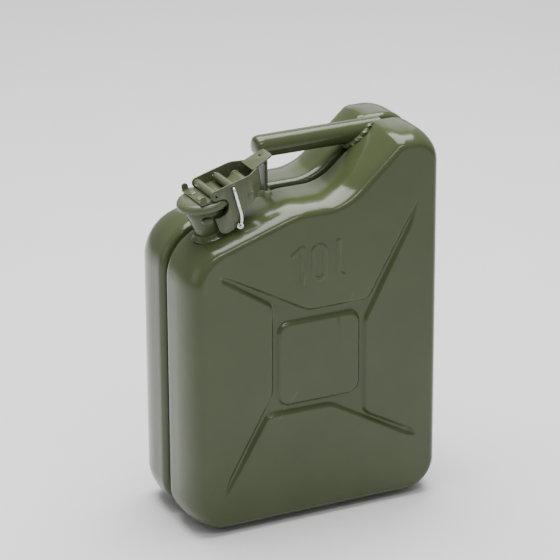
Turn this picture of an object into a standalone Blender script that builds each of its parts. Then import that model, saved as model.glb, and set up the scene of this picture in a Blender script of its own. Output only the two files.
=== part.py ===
"""Ten-litre steel jerry can with a lever-locked filler cap.

Frame: +Z up, X along the can's length (neck at -X, high shoulder at +X), Y through its
thickness. The origin is the centre of the base. Units are metres.
"""

import math

import bmesh
import bpy
from mathutils import Matrix, Vector

# ---------------------------------------------------------------- driving dimensions
LENGTH = 0.270
DEPTH = 0.128
HEIGHT = 0.381
WALL = 0.0010
GAP = 0.0003

BASE_RADIUS = 0.037
TOP_RADIUS = 0.032
HUMP_X = 0.086
HUMP_RADIUS = 0.017
VALLEY_Z = 0.3282
VALLEY_RIGHT_X = 0.027
VALLEY_RIGHT_RADIUS = 0.048
VALLEY_LEFT_X = -0.022
VALLEY_LEFT_RADIUS = 0.060
SHOULDER_Z = 0.2915
SHOULDER_RADIUS = 0.0495

# Cross-section of one half shell: how far each stretch lies from the seam plane.
CHANNEL_HALF = 0.0095
CHANNEL_DEPTH = 0.0060
SEAM_HALF = 0.0016
FLAT_END = 0.0266
FACE_INSET = 0.0134

# Filler neck: axis leans towards -X, all closure parts are laid out in its frame.
NECK_BASE = Vector((-0.0983, -0.0275, 0.3038))
NECK_LEAN = math.radians(10.0)
NECK_RADIUS = 0.0132
NECK_FLARE = 0.228
LIP_RADIUS = 0.0193
LUG_REACH = 0.0203
BORE_LOW = 0.0118
BORE_HIGH = 0.0168
MOUTH_TOP = 0.0315
NECK_BELOW = 0.0030

CAP_RADIUS = 0.0259
CAP_BOTTOM = 0.0286
CAP_TOP = 0.0376
CAP_PLATE = 0.0015

# Points in the neck frame: distance behind the neck axis, and height along it.
PIVOT = (0.0050, 0.0424)
HINGE = (0.0405, 0.0405)
SAFETY_PIN = (0.0236, 0.0446)

BRACKET_HALF = 0.0204
BRACKET_FRONT_HALF = 0.0222
BRACKET_BOTTOM = CAP_TOP + GAP
BRACKET_SHEET = 0.0016
BRACKET_FRONT = -0.0110
TONGUE_START = 0.0215
TONGUE_HALF = 0.0100
KNUCKLE_RADIUS = 0.0040
HINGE_KNUCKLE_RADIUS = 0.0050
PIN_RADIUS = 0.0020
BORE_RADIUS = PIN_RADIUS + GAP

LEVER_SHEET = 0.0014
CHEEK_INNER = 0.0208
CHEEK_OUTER = CHEEK_INNER + LEVER_SHEET
LOBE_RADIUS = 0.0050
LEVER_END = 0.0575
TAB_START = (0.0537, 0.0520)
TAB_RISE = math.radians(17.0)

WIRE_RADIUS = 0.0015
WIRE_HOLE = 0.0019
SLEEVE_RADIUS = 0.0040

TUBE_RADIUS = 0.0111
TUBE_BORE = 0.0096
TUBE_Z = HEIGHT - TUBE_RADIUS
LEG_HALF_WIDTH = 0.0140
LEG_HALF_THICKNESS = 0.0023
LEG_X = -0.0312

ARC_STEPS = 9
ROUND_STEPS = 7
TURN_STEPS = 40
PIN_STEPS = 20


# ---------------------------------------------------------------- scene and materials
def clear_scene():
    for obj in list(bpy.data.objects):
        bpy.data.objects.remove(obj)


def make_material(name, colour, roughness, metallic):
    material = bpy.data.materials.new(name)
    material.use_nodes = True
    shader = material.node_tree.nodes["Principled BSDF"]
    shader.inputs["Base Color"].default_value = (*colour, 1.0)
    shader.inputs["Roughness"].default_value = roughness
    shader.inputs["Metallic"].default_value = metallic
    material.diffuse_color = (*colour, 1.0)
    return material


def olive_paint(name):
    return make_material(name, (0.105, 0.125, 0.055), 0.28, 0.0)


def zinc_plate(name):
    return make_material(name, (0.72, 0.73, 0.74), 0.25, 1.0)


def black_rubber(name):
    return make_material(name, (0.02, 0.02, 0.02), 0.7, 0.0)


# ---------------------------------------------------------------- mesh helpers
def add_object(name, vertices, faces, material=None, sharp_angle=math.radians(35)):
    mesh = bpy.data.meshes.new(name)
    mesh.from_pydata([tuple(v) for v in vertices], [], faces)
    build = bmesh.new()
    build.from_mesh(mesh)
    bmesh.ops.recalc_face_normals(build, faces=build.faces)
    if build.calc_volume(signed=True) < 0:
        bmesh.ops.reverse_faces(build, faces=build.faces)
    build.to_mesh(mesh)
    build.free()
    mesh.shade_smooth()
    mesh.set_sharp_from_angle(angle=sharp_angle)
    obj = bpy.data.objects.new(name, mesh)
    bpy.context.scene.collection.objects.link(obj)
    if material:
        mesh.materials.append(material)
    return obj


def as_cutter(obj):
    obj.hide_render = True
    obj.hide_viewport = False
    obj.display_type = "WIRE"
    return obj


def boolean(obj, other, operation):
    modifier = obj.modifiers.new(operation.title(), "BOOLEAN")
    modifier.operation = operation
    modifier.object = as_cutter(other)
    modifier.solver = "EXACT"


def closed_strip(rings, first_cap=True, last_cap=True):
    """Vertices and faces of a skin over rings of equal length, capped at both ends."""
    count = len(rings[0])
    vertices = [point for ring in rings for point in ring]
    faces = []
    for level in range(len(rings) - 1):
        for index in range(count):
            after = (index + 1) % count
            low = level * count
            high = low + count
            faces.append((low + index, low + after, high + after, high + index))
    if first_cap:
        faces.append(tuple(reversed(range(count))))
    if last_cap:
        top = (len(rings) - 1) * count
        faces.append(tuple(range(top, top + count)))
    return vertices, faces


def looped_strip(rings):
    """A skin whose last ring joins its first, such as a torus."""
    vertices, faces = closed_strip(rings, False, False)
    count = len(rings[0])
    top = (len(rings) - 1) * count
    for index in range(count):
        after = (index + 1) % count
        faces.append((top + index, top + after, after, index))
    return vertices, faces


def turned(name, profile, material=None, steps=TURN_STEPS):
    """A solid turned about local Z from a closed loop of (radius, height) points."""
    rings = []
    for step in range(steps):
        turn = 2 * math.pi * step / steps
        rings.append([(r * math.cos(turn), r * math.sin(turn), z) for r, z in profile])
    vertices, faces = looped_strip(rings)
    obj = add_object(name, vertices, faces, material)
    build = bmesh.new()
    build.from_mesh(obj.data)
    bmesh.ops.remove_doubles(build, verts=build.verts, dist=1e-6)
    bmesh.ops.recalc_face_normals(build, faces=build.faces)
    build.to_mesh(obj.data)
    build.free()
    return obj


def prism(name, outline, low, high, plane, material=None):
    """An outline extruded from low to high: plane 'uv' extrudes along Z, 'us' along Y."""
    if plane == "uv":
        rings = [[(a, b, level) for a, b in outline] for level in (low, high)]
    else:
        rings = [[(a, level, b) for a, b in outline] for level in (low, high)]
    vertices, faces = closed_strip(rings)
    return add_object(name, vertices, faces, material)


def rod(name, start, end, radius, material=None, steps=PIN_STEPS):
    start = Vector(start)
    end = Vector(end)
    turn = (end - start).to_track_quat("Z", "Y").to_matrix()
    rings = []
    for centre in (start, end):
        ring = []
        for step in range(steps):
            angle = 2 * math.pi * step / steps
            ring.append(centre + turn @ Vector((radius * math.cos(angle), radius * math.sin(angle), 0)))
        rings.append(ring)
    vertices, faces = closed_strip(rings)
    return add_object(name, vertices, faces, material)


def tube_frames(path):
    """A frame for each point of a path, turned as little as possible from point to point."""
    tangents = []
    for index in range(len(path)):
        before = path[max(index - 1, 0)]
        after = path[min(index + 1, len(path) - 1)]
        tangents.append((after - before).normalized())
    side = tangents[0].orthogonal().normalized()
    frames = []
    for tangent in tangents:
        side = (side - tangent * side.dot(tangent)).normalized()
        frames.append((side, tangent.cross(side)))
    return frames


def swept(name, path, radius, material, steps=12, bore=None):
    path = [Vector(point) for point in path]
    frames = tube_frames(path)
    outer = []
    inner = []
    for centre, (side, up) in zip(path, frames):
        turns = [2 * math.pi * step / steps for step in range(steps)]
        spokes = [side * math.cos(turn) + up * math.sin(turn) for turn in turns]
        outer.append([centre + spoke * radius for spoke in spokes])
        if bore:
            inner.append([centre + spoke * bore for spoke in spokes])
    if bore:
        vertices, faces = looped_strip(outer + inner[::-1])
    else:
        vertices, faces = closed_strip(outer)
    return add_object(name, vertices, faces, material, math.radians(50))


def arc(centre, radius, start, end, steps):
    """Points of an arc, angles in degrees."""
    points = []
    for step in range(steps + 1):
        angle = math.radians(start + (end - start) * step / steps)
        points.append((centre[0] + radius * math.cos(angle), centre[1] + radius * math.sin(angle)))
    return points


# ---------------------------------------------------------------- the can's outline
CORNERS = (
    (-LENGTH / 2, 0.0, BASE_RADIUS),
    (LENGTH / 2, 0.0, BASE_RADIUS),
    (LENGTH / 2, HEIGHT, TOP_RADIUS),
    (HUMP_X, HEIGHT, HUMP_RADIUS),
    (VALLEY_RIGHT_X, VALLEY_Z, VALLEY_RIGHT_RADIUS),
    (VALLEY_LEFT_X, VALLEY_Z, VALLEY_LEFT_RADIUS),
    (-LENGTH / 2, SHOULDER_Z, SHOULDER_RADIUS),
)


def outline_points():
    """The side view's outline as (point, outward normal) pairs, each corner an arc."""
    result = []
    for index, (x, z, radius) in enumerate(CORNERS):
        corner = Vector((x, z))
        before = Vector(CORNERS[index - 1][:2])
        after = Vector(CORNERS[(index + 1) % len(CORNERS)][:2])
        arriving = (corner - before).normalized()
        leaving = (after - corner).normalized()
        turn = math.atan2(arriving.x * leaving.y - arriving.y * leaving.x, arriving.dot(leaving))
        side = 1 if turn > 0 else -1
        normal = Vector((arriving.y, -arriving.x))
        start = corner - arriving * radius * math.tan(abs(turn) / 2)
        centre = start - normal * radius * side
        base_angle = math.atan2(normal.y, normal.x)
        for step in range(ARC_STEPS + 1):
            angle = base_angle + turn * step / ARC_STEPS
            outward = Vector((math.cos(angle), math.sin(angle)))
            result.append((centre + outward * radius * side, outward))
    return result


OUTLINE = outline_points()


def outline_ring(y, inset):
    ring = []
    for point, normal in OUTLINE:
        moved = point - normal * inset
        ring.append((moved.x, y, moved.y))
    return ring


def rounding_inset(distance):
    """How far the surface has come in from the outline at this distance from the seam plane."""
    if distance <= FLAT_END:
        return 0.0
    share = min((distance - FLAT_END) / (DEPTH / 2 - FLAT_END), 1.0)
    return FACE_INSET * (1 - math.sqrt(1 - share * share))


def shell_profile(thickness):
    """(distance from the seam plane, inset) along one half's wall, thickness inside its skin."""
    channel_slope = math.atan2(CHANNEL_DEPTH, CHANNEL_HALF - SEAM_HALF)
    shift = thickness * math.tan(channel_slope / 2)
    profile = [(SEAM_HALF, CHANNEL_DEPTH + thickness)]
    profile.append((SEAM_HALF + 0.0008, CHANNEL_DEPTH + thickness))
    profile.append((CHANNEL_HALF - 0.0012 + shift, 0.0007 + thickness))
    profile.append((CHANNEL_HALF + 0.0008, thickness))
    profile.append((FLAT_END, thickness))
    span = DEPTH / 2 - FLAT_END
    for step in range(1, ROUND_STEPS + 1):
        angle = math.pi / 2 * step / ROUND_STEPS
        distance = FLAT_END + (span - thickness) * math.sin(angle)
        inset = thickness + (FACE_INSET - thickness) * (1 - math.cos(angle))
        profile.append((distance, inset))
    return profile


def half_shell(name, side, material):
    rings = [outline_ring(side * y, inset) for y, inset in shell_profile(0.0)]
    inner = [outline_ring(side * y, inset) for y, inset in shell_profile(WALL)]
    count = len(rings[0])
    vertices, faces = closed_strip(rings, False, True)
    start = len(vertices)
    inner_vertices, inner_faces = closed_strip(inner, False, True)
    vertices += inner_vertices
    faces += [tuple(start + index for index in face) for face in inner_faces]
    for index in range(count):
        after = (index + 1) % count
        faces.append((index, after, start + after, start + index))
    return add_object(name, vertices, faces, material)


def seam_weld(material):
    """The bead that joins the two halves at the bottom of the channel."""
    low = CHANNEL_DEPTH - 0.0008
    high = CHANNEL_DEPTH + WALL + 0.0004
    half = SEAM_HALF - GAP
    section = [(-half, high), (-half, low + 0.0005), (0.0, low), (half, low + 0.0005), (half, high)]
    rings = [outline_ring(y, inset) for y, inset in section]
    vertices, faces = looped_strip(rings)
    return add_object("seam_weld", vertices, faces, material)


# ---------------------------------------------------------------- neck frame
NECK_FRAME = Matrix.Translation(NECK_BASE) @ Matrix.Rotation(-NECK_LEAN, 4, "Y")


def in_neck_frame(obj):
    obj.matrix_world = NECK_FRAME
    return obj


def neck_point(u, v, s):
    return NECK_FRAME @ Vector((u, v, s))


def neck_outer_profile(extra):
    """(radius, height) up the outside of the neck, extra outside its real skin."""
    return [
        (NECK_RADIUS + extra, -NECK_BELOW - extra),
        (NECK_RADIUS + extra, 0.0),
        (NECK_RADIUS + NECK_FLARE * 0.0235 + extra, 0.0235),
        (LIP_RADIUS + extra, 0.0252),
        (LIP_RADIUS + extra, 0.0300),
        (LIP_RADIUS - 0.0008 + extra, MOUTH_TOP + extra),
    ]


def filler_neck(material):
    profile = neck_outer_profile(0.0)
    profile += [(BORE_HIGH + 0.0008, MOUTH_TOP), (BORE_HIGH, 0.0305), (BORE_HIGH, 0.0240)]
    profile += [(BORE_LOW, 0.0020), (BORE_LOW, -NECK_BELOW)]
    return in_neck_frame(turned("filler_neck", profile, material))


def neck_weld(material):
    """A fillet round the foot of the neck that follows the rounded shoulder."""
    slope = math.atan2(VALLEY_Z - SHOULDER_Z, VALLEY_LEFT_X + LENGTH / 2)
    along = Vector((math.cos(slope), 0, math.sin(slope)))
    normal = Vector((-math.sin(slope), 0, math.cos(slope)))
    across = Vector((0, 1, 0))
    root = NECK_RADIUS + 0.0025
    section = [(root, 2 * GAP), (root + 0.0036, 2 * GAP), (root + 0.0016, 0.0020), (root, 0.0032)]
    rings = []
    for step in range(TURN_STEPS):
        turn = 2 * math.pi * step / TURN_STEPS
        spoke = along * math.cos(turn) + across * math.sin(turn)
        ring = []
        for radius, height in section:
            point = NECK_BASE + spoke * radius
            drop = rounding_inset(abs(point.y)) if radius > root else rounding_inset(abs(point.y)) * 0.7
            ring.append(point + normal * (height - drop))
        rings.append(ring)
    vertices, faces = looped_strip(rings)
    return add_object("neck_weld", vertices, faces, material)


def neck_lugs(material):
    """The two round-ended guide lugs on the neck's sides, ahead of the lever's jaws."""
    for side in (-1, 1):
        outline = arc((-0.0037, 0.0187), 0.0035, -90, 90, 6) + arc((-0.0080, 0.0191), 0.0035, 90, 270, 6)
        low, high = sorted((side * 0.0120, side * LUG_REACH))
        lug = in_neck_frame(prism("neck_lug_" + ("front" if side < 0 else "rear"), outline, low, high, "us", material))
        clear = turned("neck_lug_seat_guide", neck_outer_profile(GAP) + [(0.0, MOUTH_TOP), (0.0, -NECK_BELOW)])
        boolean(lug, in_neck_frame(clear), "DIFFERENCE")


def vent_tube(material):
    """Breather tube: down inside the neck, then along under the shoulder to the air space."""
    path = [neck_point(0.0078, 0.0, s) for s in (0.0240, 0.0120, 0.0020, -0.0040)]
    bend = [(-0.0870, 0.2925), (-0.0820, 0.2890), (-0.0740, 0.2880), (-0.0600, 0.2890)]
    path += [Vector((x, NECK_BASE.y, z)) for x, z in bend]
    path += [Vector((x, NECK_BASE.y, 0.2890 + (x + 0.0600) * 0.12)) for x in (-0.03, 0.0, 0.03)]
    return swept("vent_tube", path, 0.0030, material, 12, 0.0022)


# ---------------------------------------------------------------- cap and its fittings
def filler_cap(material):
    """A shallow dished lid: flat in the middle, falling to a rim that curls in under itself."""
    rim = CAP_RADIUS
    under = CAP_TOP - CAP_PLATE
    profile = [(0.0, CAP_TOP), (0.0180, CAP_TOP), (0.0205, CAP_TOP - 0.0003), (0.0230, CAP_TOP - 0.0011)]
    profile += [(0.0248, CAP_TOP - 0.0024), (rim - 0.0002, CAP_TOP - 0.0042), (rim, CAP_TOP - 0.0058)]
    profile += [(rim - 0.0006, CAP_BOTTOM + 0.0012), (rim - 0.0018, CAP_BOTTOM), (rim - 0.0029, CAP_BOTTOM + 0.0004)]
    profile += [(rim - 0.0014, CAP_BOTTOM + 0.0030), (rim - 0.0015, CAP_TOP - 0.0046), (0.0234, under - 0.0018)]
    profile += [(0.0215, under - 0.0006), (0.0180, under), (0.0, under)]
    cap = in_neck_frame(turned("filler_cap", profile, material))
    for index, v in enumerate((-0.008, 0.008)):
        cutter = rod(f"cap_rivet_hole_{index}", (-0.006, v, 0.030), (-0.006, v, 0.045), 0.0025)
        boolean(cap, in_neck_frame(cutter), "DIFFERENCE")
    return cap


def cap_gasket(material):
    top = CAP_TOP - CAP_PLATE - GAP
    bottom = MOUTH_TOP + GAP + 0.0002
    profile = [(0.0155, top), (0.0178, top), (0.0202, top - 0.0008), (0.0202, bottom + 0.0006)]
    profile += [(0.0196, bottom), (0.0161, bottom)]
    profile += [(0.0155, bottom + 0.0006)]
    return in_neck_frame(turned("cap_gasket", profile, material))


def cap_inner_plate(material):
    top = CAP_TOP - CAP_PLATE - GAP
    low = top - 0.0026
    profile = [(0.0, top), (0.0148, top), (0.0148, low + 0.0008), (0.0140, low), (0.0, low)]
    plate = in_neck_frame(turned("cap_inner_plate", profile, material))
    for index, v in enumerate((-0.008, 0.008)):
        cutter = rod(f"inner_rivet_hole_{index}", (-0.006, v, 0.028), (-0.006, v, 0.040), 0.0025)
        boolean(plate, in_neck_frame(cutter), "DIFFERENCE")
    return plate


def cap_rivet(name, v, material):
    plate_low = CAP_TOP - CAP_PLATE - GAP - 0.0026
    plate_high = BRACKET_BOTTOM + BRACKET_SHEET
    head = plate_high + GAP
    tail = plate_low - GAP
    profile = [(0.0, head + 0.0014), (0.0022, head + 0.0012), (0.0038, head + 0.0003), (0.0038, head)]
    profile += [(0.0022, head), (0.0022, tail), (0.0038, tail), (0.0036, tail - 0.0009), (0.0, tail - 0.0011)]
    rivet = turned(name, profile, material, 24)
    rivet.matrix_world = NECK_FRAME @ Matrix.Translation((-0.006, v, 0.0))
    return rivet


def cap_bracket(material):
    """Pressed strap over the cap: front plate, pivot knuckle, and a tongue to the hinge."""
    low = BRACKET_BOTTOM
    high = low + BRACKET_SHEET
    front = [(BRACKET_FRONT, low), (TONGUE_START, low), (TONGUE_START, high)]
    reach = math.degrees(math.asin((PIVOT[1] - high) / (KNUCKLE_RADIUS + 0.0002)))
    front += arc(PIVOT, KNUCKLE_RADIUS, -reach, 180 + reach, 12)
    front += [(BRACKET_FRONT, high)]
    bracket = prism("cap_bracket", front, -BRACKET_HALF, BRACKET_HALF, "us", material)
    tongue = [(TONGUE_START - 0.004, low), (HINGE[0] - 0.004, low - 0.0006)]
    tongue += arc(HINGE, HINGE_KNUCKLE_RADIUS, 200, 480, 14)
    tongue += [(TONGUE_START + 0.006, high), (TONGUE_START - 0.004, high)]
    boolean(bracket, in_neck_frame(prism("tongue_guide", tongue, -TONGUE_HALF, TONGUE_HALF, "us")), "UNION")
    flange = [(BRACKET_FRONT, low), (-0.0012, low), (-0.0012, high), (BRACKET_FRONT, high)]
    wide = prism("front_plate_guide", flange, -BRACKET_FRONT_HALF, BRACKET_FRONT_HALF, "us")
    boolean(bracket, in_neck_frame(wide), "UNION")
    for side in (-1, 1):
        ear = [(BRACKET_FRONT, low), (BRACKET_FRONT + 0.0065, low), (BRACKET_FRONT + 0.0065, high + 0.0010)]
        ear += arc((BRACKET_FRONT + 0.0030, high + 0.0028), 0.0030, 10, 180, 6)
        edges = sorted((side * BRACKET_FRONT_HALF, side * (BRACKET_FRONT_HALF - 0.0016)))
        name = "ear_guide_" + ("front" if side < 0 else "rear")
        boolean(bracket, in_neck_frame(prism(name, ear, edges[0], edges[1], "us")), "UNION")
    pivot_bore = rod("pivot_bore_guide", (PIVOT[0], -0.03, PIVOT[1]), (PIVOT[0], 0.03, PIVOT[1]), BORE_RADIUS)
    boolean(bracket, in_neck_frame(pivot_bore), "DIFFERENCE")
    hinge_bore = rod("hinge_bore_guide", (HINGE[0], -0.03, HINGE[1]), (HINGE[0], 0.03, HINGE[1]), BORE_RADIUS)
    boolean(bracket, in_neck_frame(hinge_bore), "DIFFERENCE")
    for index, v in enumerate((-0.008, 0.008)):
        cutter = rod(f"bracket_rivet_hole_{index}", (-0.006, v, 0.030), (-0.006, v, 0.045), 0.0025)
        boolean(bracket, in_neck_frame(cutter), "DIFFERENCE")
    return in_neck_frame(bracket)


def hinge_bracket(material):
    """The fork welded behind the neck that carries the cap's hinge pin."""
    fork_inner = TONGUE_HALF + 0.0004
    fork_outer = fork_inner + 0.0018
    cheek = [(0.0080, 0.0070), (0.0230, 0.0080), (0.0440, 0.0300)]
    cheek += arc(HINGE, 0.0056, -40, 170, 10)
    cheek += [(0.0290, 0.0320), (0.0250, 0.0200), (0.0080, 0.0190)]
    fork = prism("hinge_bracket", cheek, -fork_outer, fork_outer, "us", material)
    slot = [(0.0222, 0.0095), (0.0600, 0.0095), (0.0600, 0.0600), (0.0190, 0.0600), (0.0190, 0.0202), (0.0222, 0.0202)]
    boolean(fork, in_neck_frame(prism("fork_slot_guide", slot, -fork_inner, fork_inner, "us")), "DIFFERENCE")
    clear = turned("fork_seat_guide", neck_outer_profile(GAP) + [(0.0, MOUTH_TOP), (0.0, -NECK_BELOW)])
    boolean(fork, in_neck_frame(clear), "DIFFERENCE")
    bore = rod("fork_bore_guide", (HINGE[0], -0.03, HINGE[1]), (HINGE[0], 0.03, HINGE[1]), BORE_RADIUS)
    boolean(fork, in_neck_frame(bore), "DIFFERENCE")
    return in_neck_frame(fork)


def headed_pin(name, place, reach, head_radius, head_height, material, bore=None):
    """A pin across the closure with a low head at each end; bore makes it a hollow rivet."""
    profile = [(PIN_RADIUS, -reach), (head_radius, -reach), (head_radius * 0.8, -reach - head_height)]
    inner = bore if bore else 0.0
    profile += [(inner, -reach - head_height), (inner, reach + head_height), (head_radius * 0.8, reach + head_height)]
    profile += [(head_radius, reach), (PIN_RADIUS, reach)]
    pin = turned(name, profile, material, PIN_STEPS)
    across = Matrix.Rotation(math.radians(90), 4, "X")
    pin.matrix_world = NECK_FRAME @ Matrix.Translation((place[0], 0.0, place[1])) @ across
    return pin


# ---------------------------------------------------------------- locking lever
def lever_side_outline():
    """The cheek's side view: pivot lobe, jaw slot open to the front, jaw and heel."""
    outline = arc(PIVOT, LOBE_RADIUS, 96, 268, 12)
    outline += [(0.0080, 0.0378), (0.0120, 0.0373), (0.0146, 0.0358), (0.0161, 0.0330), (0.0163, 0.0290)]
    outline += [(0.0152, 0.0252), (0.0128, 0.0222), (0.0092, 0.0206), (0.0048, 0.0200), (0.0006, 0.0206)]
    outline += [(0.0009, 0.0170), (0.0026, 0.0072), (0.0046, 0.0046), (0.0078, 0.0030), (0.0120, 0.0027)]
    outline += [(0.0165, 0.0041), (0.0235, 0.0095), (0.0313, 0.0170), (0.0416, 0.0248), (0.0500, 0.0295)]
    outline += [(0.0550, 0.0325), (0.0620, 0.0350), (0.0620, 0.0524), (0.0537, 0.0520), (0.0391, 0.0511)]
    outline += [(0.0222, 0.0495)]
    return outline


def lever_plan_outline():
    """The folded sheet seen along the neck: two cheeks drawn in to a narrow end wall."""
    outer = [(-0.0020, -CHEEK_OUTER), (0.0400, -CHEEK_OUTER), (0.0440, -CHEEK_OUTER + 0.0012)]
    outer += [(0.0545, -0.0130), (LEVER_END - 0.0006, -0.0106), (LEVER_END, -0.0080)]
    outer += [(x, -y) for x, y in reversed(outer)]
    inner = [(-0.0020, -CHEEK_INNER), (0.0396, -CHEEK_INNER), (0.0432, -CHEEK_INNER + 0.0010)]
    inner += [(0.0535, -0.0121), (LEVER_END - 0.0019, -0.0100), (LEVER_END - LEVER_SHEET, -0.0078)]
    inner += [(x, -y) for x, y in reversed(inner)]
    return outer + inner[::-1]


def lever_tab(material=None):
    """Thumb plate over the lever's end, rising towards the handle."""
    half = 0.0118
    tip = 0.0105
    outline = [(-0.0045, -0.0122), (0.0060, -half), (0.0090, -half), (0.0112, -tip)]
    outline += arc((0.0170, -tip + 0.0030), 0.0030, -90, 0, 4)
    outline += [(x, -y) for x, y in reversed(outline)]
    tab = prism("tab_guide", outline, -LEVER_SHEET / 2, LEVER_SHEET / 2, "uv", material)
    rise = Matrix.Rotation(-TAB_RISE, 4, "Y")
    tab.matrix_world = NECK_FRAME @ Matrix.Translation((TAB_START[0], 0.0, TAB_START[1])) @ rise
    return tab


def locking_lever(material):
    lever = prism("locking_lever", lever_plan_outline(), -0.010, 0.060, "uv", material)
    side = prism("lever_side_guide", lever_side_outline(), -0.030, 0.030, "us")
    boolean(lever, in_neck_frame(side), "INTERSECT")
    boolean(lever, lever_tab(), "UNION")
    slot = [(0.0632, 0.0012), (0.0668, 0.0012), (0.0668, 0.0036), (0.0632, 0.0036)]
    boolean(lever, in_neck_frame(prism("tab_slot_guide", slot, 0.040, 0.065, "uv")), "DIFFERENCE")
    for name, place, radius in (("lever_pivot", PIVOT, BORE_RADIUS), ("lever_wire", SAFETY_PIN, WIRE_HOLE)):
        cutter = rod(name + "_hole_guide", (place[0], -0.03, place[1]), (place[0], 0.03, place[1]), radius)
        boolean(lever, in_neck_frame(cutter), "DIFFERENCE")
    return in_neck_frame(lever)


def pin_sleeve(material):
    reach = CHEEK_INNER - GAP
    profile = [(WIRE_HOLE, -reach), (SLEEVE_RADIUS, -reach), (SLEEVE_RADIUS, reach), (WIRE_HOLE, reach)]
    sleeve = turned("pin_sleeve", profile, material, PIN_STEPS)
    across = Matrix.Rotation(math.radians(90), 4, "X")
    sleeve.matrix_world = NECK_FRAME @ Matrix.Translation((SAFETY_PIN[0], 0.0, SAFETY_PIN[1])) @ across
    return sleeve


def safety_pin(material):
    """Bent wire: cross-bar through both cheeks, a leg down the outside, and an eye."""
    u, s = SAFETY_PIN
    outside = -CHEEK_OUTER - 0.0005 - WIRE_RADIUS
    path = [(u, 0.0240, s), (u, 0.0, s), (u, outside + 0.0024, s), (u + 0.0001, outside + 0.0007, s - 0.0007)]
    path += [(u + 0.0003, outside, s - 0.0026), (u + 0.0014, outside, 0.0300), (u + 0.0027, outside, 0.0165)]
    path += [(u + 0.0018, outside, 0.0115)]
    eye = (u - 0.0014, 0.0068)
    path += [(x, outside, z) for x, z in arc(eye, 0.0028, 50, -250, 10)]
    return in_neck_frame(swept("safety_pin", path, WIRE_RADIUS, material, 10))


# ---------------------------------------------------------------- carrying handle
def can_clearance(name):
    """The can's side outline grown by the gap, for trimming what is welded on to it."""
    rings = [outline_ring(y, -GAP) for y in (-0.025, 0.025)]
    vertices, faces = closed_strip(rings)
    return add_object(name, vertices, faces)


def handle_section(centre, lean, half_thickness, half_width):
    """A section of the flattened tube: lean is how far its run points down, in degrees."""
    turn = math.radians(lean)
    across = Vector((-math.sin(turn), 0, math.cos(turn)))
    ring = []
    steps = 28
    power = 1.0 - 0.45 * (1 - half_thickness / TUBE_RADIUS)
    for step in range(steps):
        angle = 2 * math.pi * step / steps
        cosine = math.cos(angle)
        sine = math.sin(angle)
        wide = math.copysign(abs(cosine) ** power, cosine) * half_width
        thick = math.copysign(abs(sine) ** power, sine) * half_thickness
        ring.append(Vector((centre[0], 0, centre[1])) + Vector((0, wide, 0)) + across * thick)
    return ring


def carry_handle(material):
    """Round tube from the hump, pinched flat at its free end and bent down into a leg."""
    inner_bend = (LEG_X + LEG_HALF_THICKNESS, TUBE_Z - TUBE_RADIUS)
    rings = [handle_section((0.0980, TUBE_Z), 0.0, TUBE_RADIUS, TUBE_RADIUS)]
    bend = (
        (0.0, 0.0222, TUBE_RADIUS),
        (20.0, 0.0221, 0.0115),
        (37.0, 0.0150, 0.0122),
        (54.0, 0.0104, 0.0130),
        (72.0, 0.0068, 0.0137),
        (90.0, 2 * LEG_HALF_THICKNESS, LEG_HALF_WIDTH),
    )
    for lean, thickness, wide in bend:
        turn = math.radians(lean)
        x = inner_bend[0] - math.sin(turn) * thickness / 2
        z = inner_bend[1] + math.cos(turn) * thickness / 2
        rings.append(handle_section((x, z), lean, thickness / 2, wide))
    rings.append(handle_section((LEG_X, 0.3150), 90.0, LEG_HALF_THICKNESS, LEG_HALF_WIDTH))
    vertices, faces = closed_strip(rings)
    handle = add_object("carry_handle", vertices, faces, material)
    boolean(handle, can_clearance("handle_trim_guide"), "DIFFERENCE")
    bore = rod("handle_bore_guide", (-0.0265, 0, TUBE_Z), (0.1200, 0, TUBE_Z), TUBE_BORE, None, 28)
    boolean(handle, bore, "DIFFERENCE")
    return handle


def surface_x(z):
    """Where the hump's flank and its rounded top corner lie at height z."""
    best = None
    for index in range(len(OUTLINE) - 1):
        low, high = sorted((OUTLINE[index][0], OUTLINE[index + 1][0]), key=lambda point: point.y)
        inside = low.y <= z <= high.y and high.y > low.y
        if inside and VALLEY_RIGHT_X < low.x < LENGTH / 2 - TOP_RADIUS:
            share = (z - low.y) / (high.y - low.y)
            best = low.x + (high.x - low.x) * share
    return best


def hump_weld(material):
    """The bead under and beside the tube where it meets the hump."""
    rings = []
    for step in range(21):
        angle = math.radians(145 + (35 + 360 - 145) * step / 20)
        spoke = Vector((0, math.cos(angle), math.sin(angle)))
        inner = TUBE_RADIUS + GAP
        outer = inner + 0.0032
        root = Vector((surface_x(TUBE_Z + inner * spoke.z) - 2 * GAP, 0, TUBE_Z)) + spoke * inner
        flank = Vector((surface_x(TUBE_Z + outer * spoke.z) - 2 * GAP, 0, TUBE_Z)) + spoke * outer
        back = root + Vector((-0.0036, 0, 0))
        crown = (back + flank) / 2 + (root - (back + flank) / 2) * 0.35 + spoke * 0.0008
        rings.append([root, flank, crown + Vector((-0.0008, 0, 0)), back])
    vertices, faces = closed_strip(rings)
    return add_object("hump_weld", vertices, faces, material)


def foot_weld(material):
    """The bead round the foot of the handle's leg, lying on the shoulder."""
    slope = (VALLEY_Z - SHOULDER_Z) / (VALLEY_LEFT_X + LENGTH / 2)
    rings = []
    steps = 32
    for step in range(steps):
        turn = 2 * math.pi * step / steps
        spoke = Vector((math.copysign(abs(math.cos(turn)) ** 0.6, math.cos(turn)), math.sin(turn)))
        ring = []
        for extra, height in ((0.0003, 0.0008), (0.0034, 0.0008), (0.0018, 0.0024), (0.0003, 0.0036)):
            x = LEG_X + spoke.x * (LEG_HALF_THICKNESS + extra)
            y = spoke.y * (LEG_HALF_WIDTH + 0.0006 + extra)
            ring.append((x, y, VALLEY_Z + (x - VALLEY_LEFT_X) * slope + height))
        rings.append(ring)
    vertices, faces = looped_strip(rings)
    return add_object("foot_weld", vertices, faces, material)


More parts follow.
